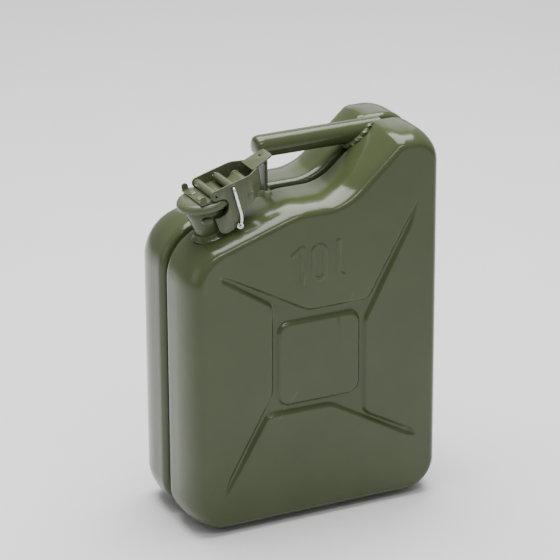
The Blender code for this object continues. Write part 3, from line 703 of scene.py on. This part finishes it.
def bracket():
    low = BRACKET_LOW
    high = low + BRACKET_SHEET
    knuckle = 0.0040
    reach = math.degrees(math.asin((PIVOT[1] - high) / (knuckle + 0.0002)))
    side_view = [(BRACKET_FRONT, low), (0.0215, low), (0.0215, high)]
    side_view += arc(PIVOT, knuckle, -reach, 180 + reach, 24)
    side_view += [(BRACKET_FRONT, high)]
    strap = prism("cap_strap", side_view, -BRACKET_HALF, BRACKET_HALF, "us", FITTING_PAINT)
    flange = [(BRACKET_FRONT - 0.0001, low - 0.0001), (-0.0012, low), (-0.0012, high), (BRACKET_FRONT, high)]
    cut(strap, prism("flange_tool", flange, -BRACKET_FRONT_HALF, BRACKET_FRONT_HALF, "us"), "UNION")
    tongue = [(0.0175, low + 0.0001), (HINGE[0] - 0.004, low - 0.0002)]
    tongue += arc(HINGE, 0.0050, 200, 480, 28)
    tongue += [(0.0275, high + 0.0001), (0.0175, high + 0.0001)]
    cut(strap, prism("tongue_tool", tongue, -0.0100, 0.0100, "us"), "UNION")
    for side in (-1, 1):
        ear = [(BRACKET_FRONT + 0.0001, low + 0.0002), (-0.0046, low + 0.0002), (-0.0046, high + 0.0010)]
        ear += arc((-0.0078, high + 0.0032), 0.0032, 0, 180, 12)
        edges = sorted((side * (BRACKET_FRONT_HALF - 0.00015), side * (BRACKET_FRONT_HALF - 0.0017)))
        cut(strap, prism("ear_tool", ear, edges[0], edges[1], "us"), "UNION")
    for place in (PIVOT, HINGE):
        cut(strap, prism("bore_tool", arc(place, 0.0023, 0, 350, 35), -0.03, 0.03, "us"))
    bead = [(0.0108, high - 0.0006), (0.0188, high - 0.0006)]
    bead += [(0.0172, high + 0.0007), (0.0124, high + 0.0007)]
    cut(strap, prism("rib_tool", bead, -0.0150, 0.0150, "us"), "UNION")
    soften(strap, 0.0004, 2, 35)
    strap.data.transform(NECK_FRAME)
    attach(strap, "cap")
    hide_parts("cap_bracket")


def fork():
    """The hinge fork behind the neck, with softened edges."""
    inner = 0.0104
    outer = inner + 0.0018
    cheek = [(0.0120, 0.0070), (0.0230, 0.0080), (0.0440, 0.0300)]
    cheek += arc(HINGE, 0.0056, -40, 170, 20)
    cheek += [(0.0290, 0.0320), (0.0250, 0.0200), (0.0130, 0.0190)]
    piece = prism("hinge_fork", cheek, -outer, outer, "us", FITTING_PAINT)
    slot = [(0.0222, 0.0095), (0.0600, 0.0095), (0.0600, 0.0600)]
    slot += [(0.0190, 0.0600), (0.0190, 0.0202), (0.0222, 0.0202)]
    cut(piece, prism("fork_slot_tool", slot, -inner, inner, "us"))
    cut(piece, prism("fork_bore_tool", arc(HINGE, 0.0023, 0, 350, 35), -0.03, 0.03, "us"))
    soften(piece, 0.0004, 2, 35)
    piece.data.transform(NECK_FRAME)
    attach(piece, "can")
    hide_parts("hinge_bracket")


# ---------------------------------------------------------------- lever
def lever_side():
    outline = arc(PIVOT, LOBE_RADIUS, 96, 268, 20)
    lower = [(0.0080, 0.0378), (0.0120, 0.0373), (0.0146, 0.0358), (0.0161, 0.0330), (0.0163, 0.0290)]
    lower += [(0.0152, 0.0252), (0.0128, 0.0222), (0.0092, 0.0206), (0.0048, 0.0200), (0.0006, 0.0206)]
    outline += [(p.x, p.y) for p in smooth_line(lower, 4)]
    outline += [(0.0009, 0.0170), (0.0026, 0.0072)]
    heel = [(0.0030, 0.0060), (0.0048, 0.0044), (0.0078, 0.0030), (0.0120, 0.0027), (0.0165, 0.0041)]
    heel += [(0.0235, 0.0095), (0.0313, 0.0170), (0.0416, 0.0248), (0.0500, 0.0295), (0.0550, 0.0325)]
    outline += [(p.x, p.y) for p in smooth_line(heel, 4)]
    outline += [(0.0620, 0.0350), (0.0620, 0.0524), (0.0537, 0.0520), (0.0391, 0.0511), (0.0222, 0.0495)]
    return outline


def lever_plan():
    """Two parallel cheeks that draw in smoothly to a narrow end wall."""
    half = [(u, -CHEEK_OUTER) for u in (-0.0020, 0.0200, 0.0340)]
    half += [(0.0400, -CHEEK_OUTER + 0.0002)]
    half += [(0.0440, -CHEEK_OUTER + 0.0014), (0.0490, -0.0170), (0.0530, -0.0140), (0.0556, -0.0120)]
    half += [(0.0570, -0.0098), (LEVER_END, -0.0070), (LEVER_END, 0.0)]
    line = smooth_line(half, 4)
    line += [Vector((p.x, -p.y)) for p in reversed(line[:-1])]
    inner = []
    for index, point in enumerate(line):
        tangent = line[min(index + 1, len(line) - 1)] - line[max(index - 1, 0)]
        normal = Vector((-tangent.y, tangent.x)).normalized()
        inner.append(point + normal * SHEET)
    return [(p.x, p.y) for p in line] + [(p.x, p.y) for p in reversed(inner)]


def lever():
    piece = prism("lock_lever", lever_plan(), -0.010, 0.060, "uv", FITTING_PAINT)
    cut(piece, prism("side_tool", lever_side(), -0.030, 0.030, "us"), "INTERSECT")
    tab = [(-0.0040, -0.0128), (0.0060, -0.0119), (0.0110, -0.0112)]
    tab += arc((0.0170, -0.0072), 0.0033, -90, 0, 8)
    tab += [(x, -y) for x, y in reversed(tab)]
    rise = Matrix.Rotation(-TAB_RISE, 4, "Y")
    place = Matrix.Translation((TAB_START[0], 0.0, TAB_START[1])) @ rise
    plate = prism("tab_tool", tab, -SHEET / 2, SHEET / 2, "uv", None, place)
    cut(piece, plate, "UNION")
    slot = arc((0.0650, 0.0036), 0.0013, 0, 180, 8) + arc((0.0650, 0.0008), 0.0013, 180, 360, 8)
    cut(piece, prism("tab_slot_tool", slot, 0.045, 0.070, "uv"))
    cut(piece, prism("pivot_tool", arc(PIVOT, 0.0023, 0, 350, 35), -0.03, 0.03, "us"))
    cut(piece, prism("wire_tool", arc(SAFETY_PIN, 0.0019, 0, 350, 35), -0.03, 0.03, "us"))
    soften(piece, 0.00045, 3, 35)
    piece.data.transform(NECK_FRAME)
    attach(piece, "lever")
    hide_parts("locking_lever")
    for side in (-1, 1):
        rings = []
        for depth, size in ((0.0, 1.0), (0.0007, 0.93), (0.0011, 0.78), (0.0013, 0.5)):
            ring = []
            for x, z in arc((0.0, 0.0), 1.0, 0, 345, 23):
                local = Matrix.Rotation(math.radians(40), 2) @ Vector((x * 0.0040 * size, z * 0.0019 * size))
                ring.append((0.0395 + local.x, side * (CHEEK_OUTER + depth - 0.0003), 0.0331 + local.y))
            rings.append(ring)
        label = "front" if side < 0 else "rear"
        dimple = lofted("cheek_dimple_" + label, rings, FITTING_PAINT, math.radians(60))
        dimple.data.transform(NECK_FRAME)
        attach(dimple, "lever")


def across(place, v=0.0):
    """Stands a turned piece's axis across the closure at (u, s), a distance v from its centre plane."""
    return (
        NECK_FRAME
        @ Matrix.Translation((place[0], v, place[1]))
        @ Matrix.Rotation(math.radians(90), 4, "X")
    )


def sleeve():
    near = CHEEK_INNER - 0.0052
    reach = CHEEK_INNER - 0.0003
    profile = [(0.0019, -near), (0.0030, -near), (0.0038, -near + 0.0005), (0.0040, -near + 0.0014)]
    profile += [(0.0040, reach - 0.0014), (0.0038, reach - 0.0005), (0.0030, reach), (0.0019, reach)]
    tube = turned("spacer_sleeve", profile, FITTING_PAINT, 48, across(SAFETY_PIN))
    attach(tube, "lever")
    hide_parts("pin_sleeve")


def rivet(name, node, body, place, reach, head, material, hollow):
    """A headed pin across the closure, domed at both ends."""
    bore = 0.0012 if hollow else 0.0
    end = [(0.0020, -reach), (head, -reach), (head, -reach - 0.0003)]
    end += [(head * 0.86, -reach - 0.0008), (head * 0.6, -reach - 0.0011)]
    if hollow:
        end += [(bore, -reach - 0.0006), (bore, reach + 0.0006)]
    else:
        end += [(0.0, -reach - 0.0012), (0.0, reach + 0.0012)]
    end += [(head * 0.6, reach + 0.0011), (head * 0.86, reach + 0.0008)]
    end += [(head, reach + 0.0003), (head, reach), (0.0020, reach)]
    pin = turned(name, end, material, 48, across(place))
    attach(pin, body)
    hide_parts(node)


def wire_radius(share):
    """The wire thins a little over its last third, towards the eye."""
    return 0.0016 - 0.0005 * max(0.0, share - 0.66) / 0.34


def wire_pin():
    u, s = SAFETY_PIN
    out = -CHEEK_OUTER - 0.0005 - 0.0015
    path = [(u, 0.0243, s), (u, 0.0, s), (u, -0.0150, s), (u, out + 0.0046, s), (u, out + 0.0022, s - 0.0002)]
    path += [(u + 0.0001, out + 0.0007, s - 0.0010), (u + 0.0002, out, s - 0.0030), (u + 0.0008, out, 0.0360)]
    path += [(u + 0.0016, out, 0.0270), (u + 0.0024, out, 0.0190)]
    path += [(u + 0.0024, out, 0.0145), (u + 0.0016, out, 0.0110)]
    eye = (u - 0.0008, 0.0066)
    path += [(x, out, z) for x, z in arc(eye, 0.0023, 50, -250, 14)]
    line = smooth_line(path, 5)
    wire = swept("wire_pin", line, wire_radius, PIN_ZINC, 20)
    wire.data.transform(NECK_FRAME)
    knob = [(0.0, -0.0021), (0.0010, -0.0019), (0.0016, -0.0012), (0.0018, 0.0)]
    knob += [(radius, -height) for radius, height in reversed(knob[:-1])]
    ball = turned("wire_pin_end", knob, PIN_ZINC, 32, across(SAFETY_PIN, 0.0250), None)
    for piece in (wire, ball):
        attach(piece, "pin")
    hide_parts("safety_pin")


# ---------------------------------------------------------------- handle and its welds
def handle_ring(centre, lean, thick, wide, steps=56):
    turn = math.radians(lean)
    across = Vector((-math.sin(turn), 0, math.cos(turn)))
    power = 1.0 - 0.45 * (1 - thick / TUBE_RADIUS)
    ring = []
    for step in range(steps):
        angle = 2 * math.pi * step / steps
        cosine = math.cos(angle)
        sine = math.sin(angle)
        side = math.copysign(abs(cosine) ** power, cosine) * wide
        up = math.copysign(abs(sine) ** power, sine) * thick
        ring.append(Vector((centre[0], side, centre[1])) + across * up)
    return ring


def handle():
    """Tube from the hump, its free end pinched flat and bent down to the shoulder."""
    inner = (LEG_X + LEG_HALF, TUBE_Z - TUBE_RADIUS)
    key = ((0.0, 0.0222, 0.0111), (12.0, 0.0223, 0.0112), (24.0, 0.0214, 0.0116), (37.0, 0.0156, 0.0123),
           (50.0, 0.0112, 0.0129), (66.0, 0.0078, 0.0135), (80.0, 0.0056, 0.0139),
           (90.0, 2 * LEG_HALF, 0.0140))
    rings = [handle_ring((0.0950, TUBE_Z), 0.0, TUBE_RADIUS, TUBE_RADIUS)]
    for step in range(1, 12):
        x = 0.0950 + (inner[0] - 0.0950) * step / 12
        rings.append(handle_ring((x, TUBE_Z), 0.0, TUBE_RADIUS, TUBE_RADIUS))
    for lean, thick, wide in [tuple(p) for p in smooth_line([Vector(k) for k in key], 4)]:
        turn = math.radians(lean)
        x = inner[0] - math.sin(turn) * thick / 2
        z = inner[1] + math.cos(turn) * thick / 2
        rings.append(handle_ring((x, z), lean, thick / 2, wide))
    for z in (0.3520, 0.3440, 0.3360, 0.3290, 0.3225):
        rings.append(handle_ring((LEG_X, z), 90.0, LEG_HALF, 0.0140))
    grip = lofted("grip_tube", rings, CAN_PAINT, math.radians(70))
    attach(grip, "can")
    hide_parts("carry_handle")


def flank_x(z):
    best = 0.08
    line = outline_points(0.001)
    for index in range(len(line) - 1):
        low, high = sorted((line[index][0], line[index + 1][0]), key=lambda point: point.y)
        if low.y <= z <= high.y and high.y > low.y and 0.027 < low.x < 0.103:
            best = low.x + (high.x - low.x) * (z - low.y) / (high.y - low.y)
    return best


def hump_bead():
    """A lumpy weld bead round the tube where it meets the hump."""
    rings = []
    steps = 72
    for step in range(steps + 1):
        angle = math.radians(140 + 260 * step / steps)
        spoke = Vector((0, math.cos(angle), math.sin(angle)))
        lump = 0.0005 * math.sin(step * 0.9) + 0.0004 * math.sin(step * 2.3 + 0.7)
        root = TUBE_RADIUS - 0.0008
        outer = TUBE_RADIUS + 0.0042 + lump
        at_root = Vector((flank_x(TUBE_Z + root * spoke.z), 0, TUBE_Z)) + spoke * root
        at_flank = Vector((flank_x(TUBE_Z + outer * spoke.z), 0, TUBE_Z)) + spoke * outer
        ring = []
        for turn in range(12):
            share = 2 * math.pi * turn / 12
            middle = at_root.lerp(at_flank, 0.42) + Vector((-0.0012, 0, 0))
            out = Vector((-0.0034 - lump, 0, 0)) * math.cos(share)
            ring.append(middle + out + spoke * (0.0030 + lump) * math.sin(share))
        rings.append(ring)
    bead = lofted("hump_bead", rings, BEAD_PAINT, math.radians(70))
    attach(bead, "can")
    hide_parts("hump_weld")


def foot_bead():
    """The lumpy weld round the handle's flat foot, sunk where it crosses the groove."""
    section = (
        (-0.0004, 0.0044), (0.0012, 0.0040), (0.0026, 0.0026), (0.0040, 0.0010),
        (0.0046, -0.0006), (0.0010, -0.0010), (-0.0004, -0.0008),
    )
    slope = (0.3282 - 0.2915) / (-0.022 + LENGTH / 2)
    rings = []
    steps = 96
    for step in range(steps):
        turn = 2 * math.pi * step / steps
        cosine = math.cos(turn)
        spoke = Vector((math.copysign(abs(cosine) ** 0.6, cosine), math.sin(turn)))
        lump = 0.0003 * math.sin(turn * 9) + 0.0002 * math.sin(turn * 16 + 0.8)
        ring = []
        for extra, height in section:
            x = LEG_X + spoke.x * (LEG_HALF + extra + lump)
            y = spoke.y * (0.0140 + extra + lump)
            sunk = CHANNEL_DEPTH * max(0.0, 1 - abs(y) / CHANNEL_HALF) * (0.5 if height > 0.002 else 0.9)
            ring.append((x, y, 0.3282 + (x + 0.022) * slope + height + lump * 0.5 - sunk))
        rings.append(ring)
    bead = lofted("foot_bead", rings, BEAD_PAINT, math.radians(70), looped=True)
    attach(bead, "can")
    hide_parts("foot_weld")


# ---------------------------------------------------------------- studio
def studio():
    floor_mesh = bpy.data.meshes.new("studio_floor")
    floor_mesh.from_pydata([(-6, -6, 0), (6, -6, 0), (6, 6, 0), (-6, 6, 0)], [], [(0, 1, 2, 3)])
    floor = bpy.data.objects.new("studio_floor", floor_mesh)
    bpy.context.scene.collection.objects.link(floor)
    floor_mesh.materials.append(floor_paper("pale_floor"))
    world = bpy.data.worlds.new("studio")
    bpy.context.scene.world = world
    world.use_nodes = True
    back = world.node_tree.nodes["Background"]
    back.inputs["Color"].default_value = (1.0, 1.0, 1.0, 1.0)
    back.inputs["Strength"].default_value = 0.44
    lights = (
        ("overhead_panel", (0.1, 0.3, 2.2), (0.0, 0.0, 0.2), 1.8, 1.8, 100.0),
        ("left_panel", (-1.9, 0.2, 0.7), (0.0, 0.0, 0.2), 0.9, 0.9, 2.0),
        ("rear_panel", (1.1, 2.3, 1.45), (0.0, 0.0, 0.3), 1.7, 1.7, 7.0),
        ("key_strip", (-0.3, -1.5, 2.2), (0.0, 0.0, 0.25), 1.8, 0.10, 15.0),
    )
    for name, place, target, width, height, power in lights:
        data = bpy.data.lights.new(name, "AREA")
        data.shape = "RECTANGLE"
        data.size = width
        data.size_y = height
        data.energy = power
        lamp = bpy.data.objects.new(name, data)
        lamp.location = place
        lamp.rotation_mode = "QUATERNION"
        lamp.rotation_quaternion = (Vector(target) - Vector(place)).to_track_quat("-Z", "Y")
        bpy.context.scene.collection.objects.link(lamp)


def camera():
    azimuth, elevation, roll = (math.radians(v) for v in (-25.627, 21.936, -0.285))
    level = math.cos(elevation)
    back = Vector((math.sin(azimuth) * level, -math.cos(azimuth) * level, math.sin(elevation)))
    right = (-back).cross(Vector((0, 0, 1))).normalized()
    up = right.cross(-back)
    turned_right = math.cos(roll) * right + math.sin(roll) * up
    turned_up = -math.sin(roll) * right + math.cos(roll) * up
    data = bpy.data.cameras.new("camera")
    data.lens = 199.28
    data.sensor_width = 36.0
    data.clip_start = 0.1
    data.clip_end = 50.0
    obj = bpy.data.objects.new("camera", data)
    bpy.context.scene.collection.objects.link(obj)
    matrix = Matrix((turned_right, turned_up, back)).transposed().to_4x4()
    matrix.translation = Vector((-1.2202, -2.5206, 1.3546))
    obj.matrix_world = matrix
    bpy.context.scene.camera = obj


def paint_node(name, material):
    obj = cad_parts[name]
    for slot in obj.material_slots:
        slot.material = material


def main():
    camera()
    studio()
    front = shell("front_half", -1, True, True)
    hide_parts("front_shell")
    back = shell("back_half", 1, False, False)
    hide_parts("back_shell")
    seam_bead()
    neck_pieces()
    neck_bead()
    cap_pieces()
    bracket()
    fork()
    lever()
    sleeve()
    rivet("pivot_rivet", "lever_pivot_pin", "lever", PIVOT, CHEEK_OUTER + 0.0003, 0.0040, FITTING_PAINT, True)
    rivet("hinge_rivet", "cap_hinge_pin", "can", HINGE, 0.0126, 0.0031, FITTING_PAINT, False)
    wire_pin()
    handle()
    hump_bead()
    foot_bead()
    paint_node("vent_tube", TUBE_ZINC)
    paint_node("cap_gasket", GASKET_RUBBER)
    paint_node("cap_inner_plate", TUBE_ZINC)
    paint_node("cap_rivet_front", FITTING_PAINT)
    paint_node("cap_rivet_rear", FITTING_PAINT)


main()
